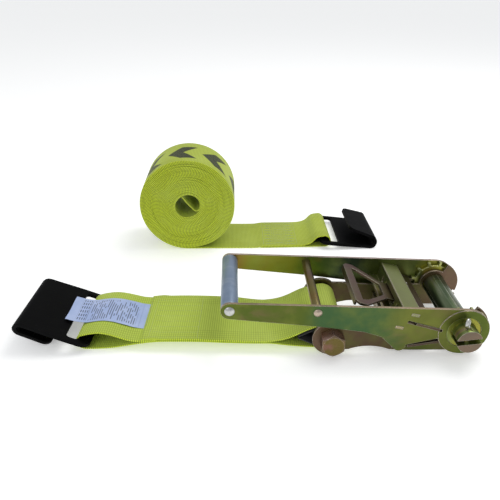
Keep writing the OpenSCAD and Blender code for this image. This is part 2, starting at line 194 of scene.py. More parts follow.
def zinc(name, stops, patch, patch_share=0.5, edge=(0.78, 0.66, 0.60), rough=0.30, radius=0.0007, cut=None,
         special=None, shade=(1.0, 1.0, 1.0)):
    """Yellow-passivated zinc plate. Its colour drifts along X through stops, a list of (millimetres from the hub,
    colour), with patches of another colour and pale edges of the given radius. cut is the colour of the sheet's sawn
    faces, special(s, colour) can change the colour further, and shade darkens all but the edges."""
    s = Shader(name)
    x = s.split(s.place)[0]
    lo, hi = cad_lo.x, cad_hi.x
    wander = s.linear(s.noise(9.0, 3.0, 0.55), 0.16, -0.08)
    along = s.math("ADD", s.between(x, lo, hi), wander)
    span = [((hub.x + at * MM - lo) / (hi - lo), colour) for at, colour in stops]
    # s.between() isn't straight, so the stops are moved in the same way
    share = [(3 * t * t - 2 * t ** 3, colour) for t, colour in span]
    colour = s.ramp(along, share)
    cloud = s.between(s.noise(17.0, 4.0, 0.6, distort=0.6), 0.52, 0.72)
    colour = s.blend(s.mul(cloud, patch_share), colour, patch)
    tint = s.between(s.noise(42.0, 3.0, 0.5), 0.35, 0.75)
    colour = s.blend(s.mul(tint, 0.35), colour, (0.30, 0.36, 0.09))
    grime = s.between(s.noise(150.0, 5.0, 0.65), 0.55, 0.8)
    colour = s.blend(s.mul(grime, 0.22), colour, (0.05, 0.045, 0.03))
    soft, mask = s.edges(radius)
    if cut:
        side = s.math("ABSOLUTE", s.true_normal()[1])
        pale = s.blend(s.between(s.noise(38.0, 3.0, 0.5), 0.4, 0.65), cut, [c * 0.62 for c in cut])
        colour = s.blend(s.mul(s.between(side, 0.6, 0.3), 0.85), colour, pale)
    if special:
        colour = special(s, colour)
    colour = s.blend(1.0, colour, shade, "MULTIPLY")
    colour = s.blend(s.mul(mask, 0.75), colour, edge)
    rolled = s.noise(60.0, 4.0, 0.6, stretch=(1.0, 6.0, 6.0))
    grain = s.noise(900.0, 2.0, 0.5)
    roughness = s.linear(rolled, 0.22, rough - 0.06)
    normal = s.bump(s.linear(grain, 0.4, rolled), 0.00025, 0.35, soft)
    return s.finish(Base_Color=colour, Metallic=0.92, Roughness=roughness, Normal=normal)


def bare_steel(name, colour=(0.62, 0.62, 0.60), rough=0.28):
    """Bright zinc or plain steel, with fine scratches along Y."""
    s = Shader(name)
    cloud = s.between(s.noise(70.0, 4.0, 0.6), 0.4, 0.7)
    tone = s.blend(s.mul(cloud, 0.5), colour, [c * 0.55 for c in colour])
    soft, mask = s.edges(0.0004)
    tone = s.blend(s.mul(mask, 0.5), tone, (0.85, 0.85, 0.84))
    scratch = s.noise(300.0, 3.0, 0.6, stretch=(1.0, 0.15, 1.0))
    return s.finish(Base_Color=tone, Metallic=1.0, Roughness=s.linear(scratch, 0.25, rough - 0.08),
                    Normal=s.bump(scratch, 0.0002, 0.3, soft))


def grip_paint():
    """Blue-grey paint of the grip, with scuffs, faint rings and paler ends."""
    s = Shader("grip_paint")
    y = s.split(s.place)[1]
    cloud = s.noise(28.0, 4.0, 0.6)
    tone = s.ramp(cloud, [(0.3, (0.165, 0.225, 0.330)), (0.7, (0.240, 0.310, 0.430))])
    rings = s.noise(12.0, 2.0, 0.5, stretch=(1.0, 8.0, 1.0))
    tone = s.blend(s.mul(s.between(rings, 0.5, 0.7), 0.3), tone, (0.30, 0.35, 0.42))
    scuff = s.between(s.noise(210.0, 4.0, 0.7), 0.66, 0.74)
    tone = s.blend(s.mul(scuff, 0.5), tone, (0.10, 0.12, 0.15))
    end = s.between(s.math("ABSOLUTE", s.math("SUBTRACT", y, hub.y)), 0.0585, 0.0628)
    tone = s.blend(s.mul(end, 0.4), tone, (0.36, 0.42, 0.50))
    soft, _ = s.edges(0.0006)
    peel = s.noise(420.0, 3.0, 0.55)
    return s.finish(Base_Color=tone, Metallic=0.25, Roughness=s.linear(cloud, 0.2, 0.30),
                    Coat_Weight=0.25, Coat_Roughness=0.25, Normal=s.bump(peel, 0.00015, 0.35, soft))


def hook_paint():
    """Black paint over shallow dents, with orange peel and grey scuffs."""
    s = Shader("hook_paint")
    cloud = s.noise(22.0, 4.0, 0.6)
    tone = s.ramp(cloud, [(0.3, (0.0016, 0.0016, 0.0018)), (0.75, (0.0036, 0.0037, 0.0040))])
    scuff = s.between(s.noise(120.0, 5.0, 0.7, distort=1.2), 0.60, 0.72)
    tone = s.blend(s.mul(scuff, 0.35), tone, (0.013, 0.0135, 0.0145))
    dents = s.noise(75.0, 2.0, 0.5)
    peel = s.noise(650.0, 3.0, 0.6)
    normal = s.bump(dents, 0.0008, 0.45)
    return s.finish(Base_Color=tone, Roughness=s.linear(cloud, 0.25, 0.42), Specular_IOR_Level=0.045,
                    Normal=s.bump(peel, 0.0002, 0.4, normal))


def webbing(name, base, groove_shade, rib=2.9, printed=False):
    """Woven polyester with ribs rib millimetres apart: base is the colour on the ribs, and the colour after it a
    painted shade in the grooves between them. UVs are metres along and across, and the back of a strip has v shifted by
    1. Printing goes on the back, which faces out of the roll."""
    s = Shader(name)
    u, v = s.split(s.uv)[0:2]
    back = s.math("GREATER_THAN", v, 0.5)
    v = s.math("SUBTRACT", v, back)
    away = s.math("ABSOLUTE", v)
    # ribs across, each slightly zigzag where the warp ends cross it
    warp = s.math("SINE", s.mul(v, 2 * math.pi / 0.0021))
    phase = s.linear(u, 2 * math.pi / (rib * MM), s.mul(warp, 0.55))
    ribs = s.linear(s.math("SINE", phase), 0.5, 0.5)
    yarn = s.linear(s.math("SINE", s.mul(v, 2 * math.pi / 0.00105)), 0.5, 0.5)
    # four woven lines near each selvedge, and the selvedge's own rope-like binding
    lines = s.math("PINGPONG", s.math("SUBTRACT", away, 0.0315), 0.0022)
    lines = s.mul(s.between(lines, 0.0009, 0.0002), s.between(away, 0.0300, 0.0312))
    binding = s.math("SINE", s.linear(u, 2 * math.pi / 0.0026, s.mul(v, 900.0)))
    binding = s.linear(binding, 0.5, 0.5)
    rim = s.between(away, 0.0494, 0.0500)
    # painted shade in the grooves between the ribs
    tone = s.blend(ribs, groove_shade, base)
    tone = s.blend(s.mul(yarn, 0.16), tone, [c * 0.72 for c in base])
    tone = s.blend(s.mul(lines, 0.42), tone, [c * 0.62 for c in groove_shade])
    # the binding's beads carry painted light: a painted highlight on their tops and painted shade in the gaps between
    # them
    lit = (base[0] * 1.30, base[1] * 1.30, base[2] * 0.55)
    bead_light_and_shade = s.blend(s.between(binding, 0.15, 0.55), [c * 0.55 for c in groove_shade], lit)
    tone = s.blend(rim, tone, bead_light_and_shade)
    fade = s.between(s.noise(11.0, 4.0, 0.6), 0.42, 0.72)
    tone = s.blend(s.mul(fade, 0.30), tone, (0.62, 0.74, 0.17))
    soil = s.between(s.noise(47.0, 5.0, 0.65), 0.60, 0.80)
    tone = s.blend(s.mul(soil, 0.18), tone, (0.26, 0.34, 0.04))
    if printed:
        # a generic printed band of chevrons, 61 mm wide, down one side
        off = s.math("ABSOLUTE", s.math("ADD", v, 0.004))
        arrow = s.math("FRACT", s.math("DIVIDE", s.linear(off, 0.8, u), 0.060))
        bar = s.mul(s.between(arrow, 0.02, 0.04), s.between(arrow, 0.50, 0.48))
        band = s.between(off, 0.0305, 0.0298)
        worn = s.linear(s.between(s.noise(160.0, 4.0, 0.7), 0.20, 0.50), 0.12, 0.88)
        ink = s.mul(bar, band, worn, back)
        tone = s.blend(ink, tone, (0.008, 0.011, 0.009))
    height = s.linear(yarn, 0.25, ribs)
    height = s.blend(rim, height, binding)
    fuzz = s.noise(1500.0, 3.0, 0.6)
    normal = s.bump(fuzz, 0.0001, 0.4, s.bump(height, 0.00035, 0.75))
    return s.finish(Base_Color=tone, Roughness=0.62, Specular_IOR_Level=0.35, Sheen_Weight=0.25, Sheen_Roughness=0.4,
                    Sheen_Tint=(0.85, 0.95, 0.35, 1.0), Normal=normal)


def sleeve_cloth():
    """Black woven cloth."""
    s = Shader("sleeve_cloth")
    u, v = s.split(s.uv)[0:2]
    a = s.math("SINE", s.mul(u, 2 * math.pi / 0.0020))
    b = s.math("SINE", s.mul(v, 2 * math.pi / 0.0020))
    weave = s.linear(s.mul(a, b), 0.5, 0.5)
    cloud = s.noise(60.0, 4.0, 0.6)
    tone = s.blend(weave, (0.004, 0.004, 0.005), (0.018, 0.018, 0.020))
    tone = s.blend(s.mul(s.between(cloud, 0.5, 0.8), 0.5), tone, (0.035, 0.036, 0.038))
    return s.finish(Base_Color=tone, Roughness=0.75, Sheen_Weight=0.2, Normal=s.bump(weave, 0.0003, 0.8))


def tag_cloth(name, printed):
    """Pale tag, with rows of plain grey dashes and two rules where it is printed: a generic pattern, no lettering."""
    s = Shader(name)
    u, v = s.split(s.uv)[0:2]
    back = s.math("GREATER_THAN", v, 0.5)
    v = s.math("SUBTRACT", v, back)
    cloud = s.noise(35.0, 4.0, 0.6)
    tone = s.ramp(cloud, [(0.3, (0.36, 0.46, 0.74)), (0.7, (0.46, 0.55, 0.82))])
    if printed:
        # rows 3.1 mm apart across the tag, each cut into short dashes at random places
        row_at = s.math("DIVIDE", u, 0.0031)
        line, in_line = s.math("FLOOR", row_at), s.math("FRACT", row_at)
        stroke = s.mul(s.between(in_line, 0.22, 0.32), s.between(in_line, 0.74, 0.64))
        shift = s.linear(line, 0.371, s.mul(v, 190.0))
        cell = s.math("ADD", s.math("FLOOR", shift), s.mul(line, 17.0))
        words = s.node("ShaderNodeTexWhiteNoise", {"W": cell}, noise_dimensions="1D").outputs["Value"]
        dash = s.mul(s.between(words, 0.28, 0.34), stroke)
        margin = s.mul(s.between(s.math("ABSOLUTE", v), 0.0240, 0.0232), s.between(u, 0.004, 0.006))
        body = s.mul(margin, s.between(u, 0.072, 0.070))
        # near the free end, bolder blocks between two rules
        bold = s.mul(s.between(u, 0.073, 0.074), s.between(u, 0.088, 0.087), margin)
        block = s.math("GREATER_THAN", s.math("FRACT", s.math("DIVIDE", v, 0.0085)), 0.35)
        rule_at = s.math("PINGPONG", s.math("SUBTRACT", u, 0.0735), 0.0072)
        rules = s.mul(s.between(rule_at, 0.0006, 0.0003), bold)
        bars = s.mul(bold, block, stroke, 0.9)
        ink = s.math("MAXIMUM", s.mul(dash, body, 0.78), s.math("MAXIMUM", rules, bars))
        tone = s.blend(s.mul(ink, back), tone, (0.045, 0.055, 0.10))
    fibre = s.noise(900.0, 3.0, 0.6)
    crease = s.noise(45.0, 3.0, 0.5)
    normal = s.bump(fibre, 0.0001, 0.3, s.bump(crease, 0.001, 0.25))
    return s.finish(Base_Color=tone, Roughness=0.5, Sheen_Weight=0.1, Normal=normal)


def thread(name, colour):
    """Twisted sewing thread."""
    s = Shader(name)
    twist = s.noise(2600.0, 2.0, 0.5, stretch=(0.3, 1.0, 1.0))
    tone = s.blend(twist, [c * 0.55 for c in colour], colour)
    return s.finish(Base_Color=tone, Roughness=0.55, Sheen_Weight=0.3, Normal=s.bump(twist, 0.0002, 0.6))


OLIVE = (0.125, 0.185, 0.042)
MOSS = (0.175, 0.215, 0.060)
TEAL = (0.075, 0.170, 0.085)
YELLOW = (0.300, 0.290, 0.045)
GOLD = (0.360, 0.200, 0.060)
PINK = (0.300, 0.190, 0.165)
BROWN = (0.200, 0.130, 0.100)
SHADOW = (0.03, 0.05, 0.03)
CUT = (0.62, 0.49, 0.45)


def facets(s, colour):
    """Bolt and nut, whose axis is Y: end faces from pink to olive, and a pale pink painted highlight where a side faces
    up.
    """
    _, ny, nz = s.true_normal()[0:3]
    end = s.between(s.math("ABSOLUTE", ny), 0.75, 0.95)
    # painted highlight: sides that face up are paler pink
    colour = s.blend(s.mul(s.between(nz, 0.0, 0.8), 0.8), colour, (0.66, 0.48, 0.45))
    face = s.ramp(s.noise(60.0, 3.0, 0.5), [(0.30, (0.34, 0.20, 0.17)), (0.52, (0.21, 0.19, 0.055))])
    return s.blend(s.mul(end, 0.85), colour, face)


def drum(s, colour):
    """Mandrel halves: the zinc's green with painted reflections, streaks from dark green to blue-grey along the axis
    between the plates, yellow and green rings near the ends, and mauve end faces."""
    away = s.math("ABSOLUTE", s.math("SUBTRACT", s.split(s.place)[1], hub.y))
    # painted reflections: streaks stretched along the axis, from dark green to blue-grey
    reflection_streaks = s.noise(55.0, 4.0, 0.55, stretch=(1.0, 0.12, 1.0), distort=0.4)
    middle = s.ramp(reflection_streaks, [(0.30, (0.030, 0.046, 0.030)), (0.44, (0.095, 0.150, 0.080)),
                             (0.56, (0.24, 0.28, 0.18)), (0.68, (0.34, 0.36, 0.39))], False)
    rings = s.noise(70.0, 3.0, 0.5, stretch=(0.25, 1.6, 0.25))
    outer = s.ramp(rings, [(0.32, (0.40, 0.37, 0.08)), (0.48, (0.17, 0.25, 0.06)),
                           (0.60, (0.46, 0.40, 0.12)), (0.72, (0.40, 0.27, 0.20))], False)
    colour = s.blend(0.85, colour, s.blend(s.between(away, 0.046, 0.056), middle, outer))
    face = s.math("ABSOLUTE", s.true_normal()[1])
    return s.blend(s.mul(s.between(face, 0.75, 0.95), 0.85), colour, (0.17, 0.115, 0.10))


def teeth(s, colour):
    """Ratchet wheel: a painted highlight, brighter towards the tips of its teeth."""
    x, _, z = s.split(s.place)[0:3]
    dx, dz = s.math("SUBTRACT", x, hub.x), s.math("SUBTRACT", z, hub.z)
    r = s.math("SQRT", s.math("ADD", s.mul(dx, dx), s.mul(dz, dz)))
    return s.blend(s.mul(s.between(r, 0.024, 0.031), 0.7), colour, (0.52, 0.55, 0.22))


def rivet(s, colour):
    """Cross rod: its riveted ends are pale pink."""
    end = s.between(s.math("ABSOLUTE", s.true_normal()[1]), 0.3, 0.7)
    return s.blend(s.mul(end, 0.8), colour, (0.85, 0.70, 0.66))


plate_front = zinc(
    "zinc_handle_front",
    [(-300, OLIVE), (-205, OLIVE), (-172, TEAL), (-112, TEAL), (-70, MOSS), (-15, MOSS), (30, OLIVE)],
    PINK, 0.42, cut=CUT, shade=(0.70, 0.64, 0.48))
plate_back = zinc(
    "zinc_handle_back",
    [(-300, GOLD), (-262, YELLOW), (-205, YELLOW), (-180, OLIVE), (-120, SHADOW), (-20, MOSS), (30, YELLOW)],
    GOLD, 0.25, cut=CUT)
plate_frame = zinc(
    "zinc_frame", [(-185, PINK), (-150, BROWN), (-100, BROWN), (-40, MOSS), (30, PINK)],
    (0.16, 0.17, 0.07), 0.45, rough=0.34, cut=CUT, shade=(0.49, 0.50, 0.38))
plate_bracket = zinc(
    "zinc_bracket",
    [(-96, (0.55, 0.39, 0.20)), (-84, (0.50, 0.37, 0.18)), (-76, (0.30, 0.31, 0.13)), (-50, (0.33, 0.35, 0.14))],
    PINK, 0.25, radius=0.0024, shade=(0.78, 0.80, 0.80))
plate_pawl = zinc(
    "zinc_pawl", [(-140, PINK), (-100, PINK), (-60, BROWN), (-30, BROWN)],
    (0.22, 0.22, 0.08), 0.4, edge=(0.60, 0.62, 0.52), shade=(0.48, 0.45, 0.45))
plate_bolt = zinc(
    "zinc_bolt", [(-190, PINK), (-150, PINK)],
    (0.33, 0.30, 0.07), 0.65, edge=(0.85, 0.70, 0.68), rough=0.24, special=facets, shade=(0.62, 0.54, 0.46))
plate_rod = zinc(
    "zinc_rod", [(-200, GOLD), (-170, BROWN)],
    (0.30, 0.28, 0.05), 0.5, rough=0.26, special=rivet, shade=(0.66, 0.66, 0.56))
plate_bar = zinc(
    "zinc_mandrel", [(-20, OLIVE), (20, MOSS)],
    YELLOW, 0.35, edge=(0.80, 0.80, 0.66), rough=0.26, special=drum, shade=(0.84, 0.82, 0.86))
plate_gear = zinc(
    "zinc_gear", [(-35, YELLOW), (0, MOSS), (35, YELLOW)],
    GOLD, 0.4, edge=(0.85, 0.88, 0.62), special=teeth)
steel = bare_steel("zinc_bright")
spring_wire = bare_steel("spring_wire", (0.50, 0.50, 0.48), 0.32)
spacer_steel = bare_steel("spacer_steel", (0.42, 0.42, 0.40), 0.42)
paint_grip = grip_paint()
paint_hook = hook_paint()
web_short = webbing("webbing_short", (0.560, 0.685, 0.100), (0.370, 0.480, 0.045))
web_long = webbing("webbing_long", (0.530, 0.620, 0.080), (0.350, 0.430, 0.034), 2.4, printed=True)
cloth_sleeve = sleeve_cloth()
cloth_tag = tag_cloth("tag_cloth", True)
cloth_hem = tag_cloth("tag_hem_cloth", False)
thread_pale = thread("thread_pale", (0.62, 0.70, 0.38))
thread_soft = thread("thread_soft", (0.62, 0.73, 0.22))

# CAD nodes that stay: their material, and the width in millimetres of the bevel on their edges
CARRIED = {
    "frame_side_front": (plate_frame, 0.5), "frame_side_back": (plate_frame, 0.5),
    "frame_cross_web": (plate_frame, 0.5),
    "anchor_bolt": (plate_bolt, 0.8), "anchor_nut": (plate_bolt, 0.8), "anchor_spacer": (spacer_steel, 0.4),
    "handle_side_front": (plate_front, 0.5), "handle_side_back": (plate_back, 0.5),
    "handle_grip_tube": (paint_grip, 0.6), "grip_rod": (steel, 0.2), "handle_cross_rod": (plate_rod, 0.2),
    "pawl_bracket": (plate_bracket, 0.7), "drive_pawl": (plate_pawl, 0.5), "lock_pawl": (plate_pawl, 0.5),
    "mandrel_bar_upper": (plate_bar, 0.7), "mandrel_bar_lower": (plate_bar, 0.7),
    "ratchet_wheel_front": (plate_gear, 0.4), "ratchet_wheel_back": (plate_gear, 0.4), "cotter_pins": (steel, 0.2),
}


def add_bevel(obj, width, segments, angle):
    """Rounds the edges sharper than angle, in degrees; width is in millimetres."""
    bevel = obj.modifiers.new("bevel", "BEVEL")
    bevel.width = width * MM
    bevel.segments = segments
    bevel.limit_method = "ANGLE"
    bevel.angle_limit = math.radians(angle)


for name, (mat, width) in CARRIED.items():
    node = nodes[name]
    node.data.materials.clear()
    node.data.materials.append(mat)
    weld = node.modifiers.new("weld", "WELD")
    weld.merge_threshold = 0.00001
    add_bevel(node, width, 2, 40)


# ---------------------------------------------------------------- building helpers

def add_mesh(name, verts, faces, mat, uvs=None):
    """A smooth-shaded mesh object. uvs holds a list of (u, v) for each face."""
    mesh = bpy.data.meshes.new(name)
    mesh.from_pydata([tuple(v) for v in verts], [], faces)
    if uvs:
        layer = mesh.uv_layers.new(name="UVMap")
        for loop_uv, uv in zip(layer.data, [uv for face in uvs for uv in face]):
            loop_uv.uv = uv
    mesh.polygons.foreach_set("use_smooth", [True] * len(mesh.polygons))
    mesh.materials.append(mat)
    mesh.update()
    obj = bpy.data.objects.new(name, mesh)
    bpy.context.scene.collection.objects.link(obj)
    return obj


def spline(points, per):
    """A smooth curve through points (centripetal Catmull-Rom), with per points from each to the next."""
    pts = [Vector(p) for p in points]
    pts = [pts[0] * 2 - pts[1]] + pts + [pts[-1] * 2 - pts[-2]]
    out = []
    for a, b, c, d in zip(pts, pts[1:], pts[2:], pts[3:]):
        t0, t1 = 0.0, max((b - a).length, 1e-6) ** 0.5
        t2 = t1 + max((c - b).length, 1e-6) ** 0.5
        t3 = t2 + max((d - c).length, 1e-6) ** 0.5
        for i in range(per):
            t = t1 + (t2 - t1) * i / per
            p1 = a * ((t1 - t) / (t1 - t0)) + b * ((t - t0) / (t1 - t0))
            p2 = b * ((t2 - t) / (t2 - t1)) + c * ((t - t1) / (t2 - t1))
            p3 = c * ((t3 - t) / (t3 - t2)) + d * ((t - t2) / (t3 - t2))
            q1 = p1 * ((t2 - t) / (t2 - t0)) + p2 * ((t - t0) / (t2 - t0))
            q2 = p2 * ((t3 - t) / (t3 - t1)) + p3 * ((t - t1) / (t3 - t1))
            out.append(q1 * ((t2 - t) / (t2 - t1)) + q2 * ((t - t1) / (t2 - t1)))
    return out + [pts[-2]]


def even(points, step):
    """The same curve with points a fixed distance apart."""
    out, left = [points[0]], step
    for a, b in zip(points, points[1:]):
        seg = (b - a).length
        at = left
        while at <= seg:
            out.append(a.lerp(b, at / seg))
            at += step
        left = at - seg
    if (points[-1] - out[-1]).length > step * 0.3:
        out.append(points[-1])
    return out


def smooth_path(points, per, step):
    """Evenly spaced points on the smooth curve through points, all (x, z) in millimetres from the hub."""
    return even(spline(points, per), step)


def arc(cx, cz, r, start, stop, count):
    """count points round (cx, cz), from one angle to another in degrees."""
    angles = [math.radians(start + (stop - start) * i / (count - 1)) for i in range(count)]
    return [(cx + r * math.cos(a), cz + r * math.sin(a)) for a in angles]


def ease(t):
    """0 below 0, 1 above 1, and smooth between them."""
    t = max(0.0, min(1.0, t))
    return t * t * (3 - 2 * t)


def strip(name, path, place, width, thick, mat, across, weave=0.0, seed=0.0):
    """Webbing along path, a list of (x, z) in millimetres. place(x, y, z) puts a point in the row frame, and across is
    the number of faces over the width. The edges are round, and weave moves them in and out by up to so many
    millimetres."""
    half = width / 2 - thick / 2
    rounded = [math.radians(a) for a in (60, 20, -20, -60)]
    ring = [(-half + 2 * half * i / across, 1.0, False) for i in range(across + 1)]
    ring += [(half + thick / 2 * math.cos(a), math.sin(a), False) for a in rounded]
    ring += [(half - 2 * half * i / across, -1.0, True) for i in range(across + 1)]
    ring += [(-half - thick / 2 * math.cos(a), math.sin(a), False) for a in reversed(rounded)]
    verts, dist, total = [], [], 0.0
    n = len(path)
    for i, p in enumerate(path):
        a, b = path[max(i - 1, 0)], path[min(i + 1, n - 1)]
        t = (b - a).normalized()
        up = Vector((-t.y, t.x))
        if i:
            total += (p - path[i - 1]).length
        dist.append(total * MM)
        slide = weave * noise.noise(Vector((total * 0.011, seed, 0.3)))
        for y, k, _ in ring:
            q = p + up * (k * thick / 2)
            verts.append(place(q.x, y + slide, q.y))
    m = len(ring)
    faces, uvs = [], []
    for i in range(n - 1):
        for j in range(m):
            k = (j + 1) % m
            faces.append((i * m + j, i * m + k, (i + 1) * m + k, (i + 1) * m + j))
            shift = 1.0 if ring[j][2] and ring[k][2] else 0.0
            v0, v1 = ring[j][0] * MM + shift, ring[k][0] * MM + shift
            uvs.append([(dist[i], v0), (dist[i], v1), (dist[i + 1], v1), (dist[i + 1], v0)])
    # the cut ends are coloured as selvedge
    for end, order in ((0, range(m - 1, -1, -1)), (n - 1, range(m))):
        faces.append(tuple(end * m + j for j in order))
        uvs.append([(dist[end], 0.0503) for _ in range(m)])
    return add_mesh(name, verts, faces, mat, uvs)


def tube(name, points, radius, mat, around=8):
    """A round wire along points."""
    verts, faces = [], []
    n = len(points)
    # ref is carried along the wire, so that its sides don't twist; it starts in any direction that isn't along the wire
    ref = Vector((0.13, 0.97, 0.21)).normalized()
    for i, p in enumerate(points):
        t = (points[min(i + 1, n - 1)] - points[max(i - 1, 0)]).normalized()
        b = t.cross(t.cross(ref).normalized())
        ref = -b if b.dot(ref) < 0 else b
        ref = (ref - t * ref.dot(t)).normalized()
        a = t.cross(ref)
        for j in range(around):
            f = 2 * math.pi * j / around
            verts.append(p + (a * math.cos(f) + ref * math.sin(f)) * radius)
    for i in range(n - 1):
        for j in range(around):
            k = (j + 1) % around
            faces.append((i * around + j, (i + 1) * around + j, (i + 1) * around + k, i * around + k))
    faces.append(tuple(range(around)))
    faces.append(tuple((n - 1) * around + j for j in reversed(range(around))))
    obj = add_mesh(name, verts, faces, mat)
    bm = bmesh.new()
    bm.from_mesh(obj.data)
    bmesh.ops.recalc_face_normals(bm, faces=bm.faces)
    bm.to_mesh(obj.data)
    bm.free()
    return obj


STITCH_SHAPE = [(-0.5, 0.15), (-0.36, 0.8), (0.0, 1.0), (0.36, 0.8), (0.5, 0.15)]
STITCH_SIDES = 6


def stitches(name, rows, mat, size, length):
    """One mesh of many short thread loops. rows is a list of (centre, along, up) in the row frame; size and length are
    each loop's thickness and length in millimetres."""
    verts, faces = [], []
    m = STITCH_SIDES
    last = (len(STITCH_SHAPE) - 1) * m
    for centre, along, up in rows:
        side = along.cross(up).normalized()
        base = len(verts)
        for f, g in STITCH_SHAPE:
            mid = centre + along * (f * length * MM) + up * (g * size * 0.25 * MM)
            radius = size * MM * (0.35 + 0.65 * g) * 0.7
            for j in range(m):
                q = 2 * math.pi * j / m
                verts.append(mid + (side * math.cos(q) + up * math.sin(q)) * radius)
        for i in range(base, base + last, m):
            for j in range(m):
                k = (j + 1) % m
                faces.append((i + j, i + k, i + m + k, i + m + j))
        faces.append(tuple(base + j for j in reversed(range(m))))
        faces.append(tuple(base + last + j for j in range(m)))
    return add_mesh(name, verts, faces, mat)


def top_of(path, x, lift):
    """Height of a strip's upper surface at x, from the first crossing of path."""
    for a, b in zip(path, path[1:]):
        if (a.x - x) * (b.x - x) <= 0 and a.x != b.x:
            return a.lerp(b, (x - a.x) / (b.x - a.x)).y + lift
    return path[0].y + lift


def seam(place, path, start, end, step=3.9, lift=0.0, upright=False):
    """Stitches from start to end, both (x, y), lying on the upper surface of path, or level if upright."""
    (x0, y0), (x1, y1) = start, end
    length = math.hypot(x1 - x0, y1 - y0)
    dx, dy = (x1 - x0) / length, (y1 - y0) / length

    def on_top(x, y):
        return place(x, y, top_of(path, x, PLY / 2 + lift))

    rows = []
    count = max(1, int(length / step))
    for i in range(count):
        f = (i + 0.5) / count
        x, y = x0 + (x1 - x0) * f, y0 + (y1 - y0) * f
        here = on_top(x, y)
        along = (on_top(x + dx, y + dy) - here).normalized()
        up = Vector((0, 0, 1))
        if not upright:
            up = (on_top(x + 1, y) - here).cross(on_top(x, y + 1) - here).normalized()
        rows.append((here, along, up))
    return rows


def dress(piece, body, slot, *replaced):
    """Makes a piece ride on its body and stand for the CAD nodes it replaces, which it hides. slot is not used."""
    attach(piece, body)
    if replaced:
        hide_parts(*replaced)


# ---------------------------------------------------------------- short strap

MERGE_X = -244.0    # where the two plies meet, millimetres from the hub
BAR_R = 10.3        # radius of the webbing's middle line round a hook's bar
BOLT_R = 18.5       # the same round the anchor bolt, and that of the sleeve
SLEEVE_R = 15.9
SLEEVE_T = 2.2
SLOPE = 0.045       # how much higher the webbing lies for each millimetre towards the back
bar_x = MERGE_X - (short_bar - row(MERGE_X, 0, 0)).xy.length / MM
bar_z = (short_bar.z - hub.z) / MM


def lie(x, y, z):
    """The short strap's sideways lie: straight at the bolt, and beyond the merge turned by the drift angle and with its
    far side a little higher."""
    d = MERGE_X - x
    a = drift * ease(d / 45.0)
    z += y * SLOPE * ease(d / 60.0) * ease((x - bar_x - 12) / 50.0)
    if d <= 0:
        return row(x, y, z)
    return row(MERGE_X - d * math.cos(a) - y * math.sin(a), -d * math.sin(a) + y * math.cos(a), z)


# from the upper ply's end to the bolt, round it, along the floor to the hook's bar, round that, and back under the end
web_path = [(-412, -20.9), (-396, -18.9), (-386, -19.5), (-370, -19.0), (-340, -18.8), (-300, -20.0), (-268, -21.6),
            (-244, -21.8), (-222, -17.2), (-196, -4.0), (-184, 0.6)]
web_path += arc(bolt.x, bolt.z, BOLT_R, 100, -100, 15)
web_path += [(-190, -31.4), (-220, -28.6), (-244, -25.2), (-268, -24.2), (-300, -22.6), (-340, -21.2), (-370, -21.4),
             (-390, -22.2), (-412, -25.4), (-432, -29.6), (-452, -34.6), (-472, -37.4)]
web_path += arc(bar_x, bar_z, BAR_R, -90, -250, 11)
web_path += [(-478, -14.4), (-466, -13.0), (-453, -14.6), (-439, -18.6), (-426, -22.2), (-412, -23.1), (-391, -20.4)]
short_path = smooth_path(web_path, 12, 2.6)
short_strap = strip("short_strap_webbing", short_path, lie, web_w, PLY, web_short, across=8, weave=0.9, seed=2.0)
dress(short_strap, "short_strap", "webbing", "short_strap")

# wear sleeve: a folded black cloth round the spacer, its two ends meeting towards the merge
sleeve_path = [(-208, -14.6), (-200, -10.4), (-190, -5.6), (-179, -1.4)]
sleeve_path += arc(bolt.x, bolt.z, SLEEVE_R, 110, -110, 15)
sleeve_path += [(-184, -27.6), (-193, -24.4), (-201, -20.2), (-208, -17.2)]
sleeve = strip("short_strap_sleeve_cloth", smooth_path(sleeve_path, 10, 2.2), lie, web_w + 1.2, SLEEVE_T, cloth_sleeve,
               across=8, weave=0.5, seed=9.0)
dress(sleeve, "short_strap", "sleeve", "short_strap_sleeve")

# stitching of the sewn stretch: a row across each end, one near each selvedge, and seven between them
rows = []
for x in (-402.0, -338.0):
    rows += seam(lie, short_path, (x, -47), (x, 47))
for y in (-46.5, 46.5):
    rows += seam(lie, short_path, (-409, y), (-332, y))
for k in range(7):
    y = -36 + 12 * k
    rows += seam(lie, short_path, (-399, y), (-337, y))
dress(stitches("short_strap_stitching", rows, thread_soft, 0.45, 3.0), "short_strap", "webbing")

# ---------------------------------------------------------------- tag

TAG_W = 56.0
TAG_T = 0.5
TAG_OFF = 4.0       # how far the tag's middle is from the strap's, towards the back
FLAP_X = -420.0     # the hem stays with the strap up to here, and the flap turns on its own joint

tag_path = [(-408, -21.4), (-413, -21.9), (-426, -19.9), (-439, -15.9), (-453, -11.8), (-466, -10.2), (-478, -11.6),
            (-490, -13.8), (-503, -13.0), (-518, -9.2)]
tag_line = smooth_path(tag_path, 10, 1.0)


def tag_lie(x, y, z):
    """The strap's lie, with small waves in the free part."""
    wave = 0.7 * math.sin(y * 0.11 + x * 0.05) * ease((-424 - x) / 20)
    return lie(x, y + TAG_OFF, z + wave)


hem_line = [p for p in tag_line if p.x > FLAP_X - 1]
dress(strip("strap_tag_hem", hem_line, tag_lie, TAG_W, TAG_T, cloth_hem, across=14), "short_strap", "tag")
flap_line = [p for p in tag_line if p.x < FLAP_X]
flap = strip("strap_tag_cloth", flap_line, tag_lie, TAG_W, TAG_T, cloth_tag, across=14)
dress(flap, "tag", "tag", "strap_tag")
rows = seam(lie, short_path, (-409.5, -22), (-409.5, 30), 3.2, 0.4)
dress(stitches("strap_tag_stitching", rows, thread_pale, 0.45, 2.4), "short_strap", "webbing")

# ---------------------------------------------------------------- long strap

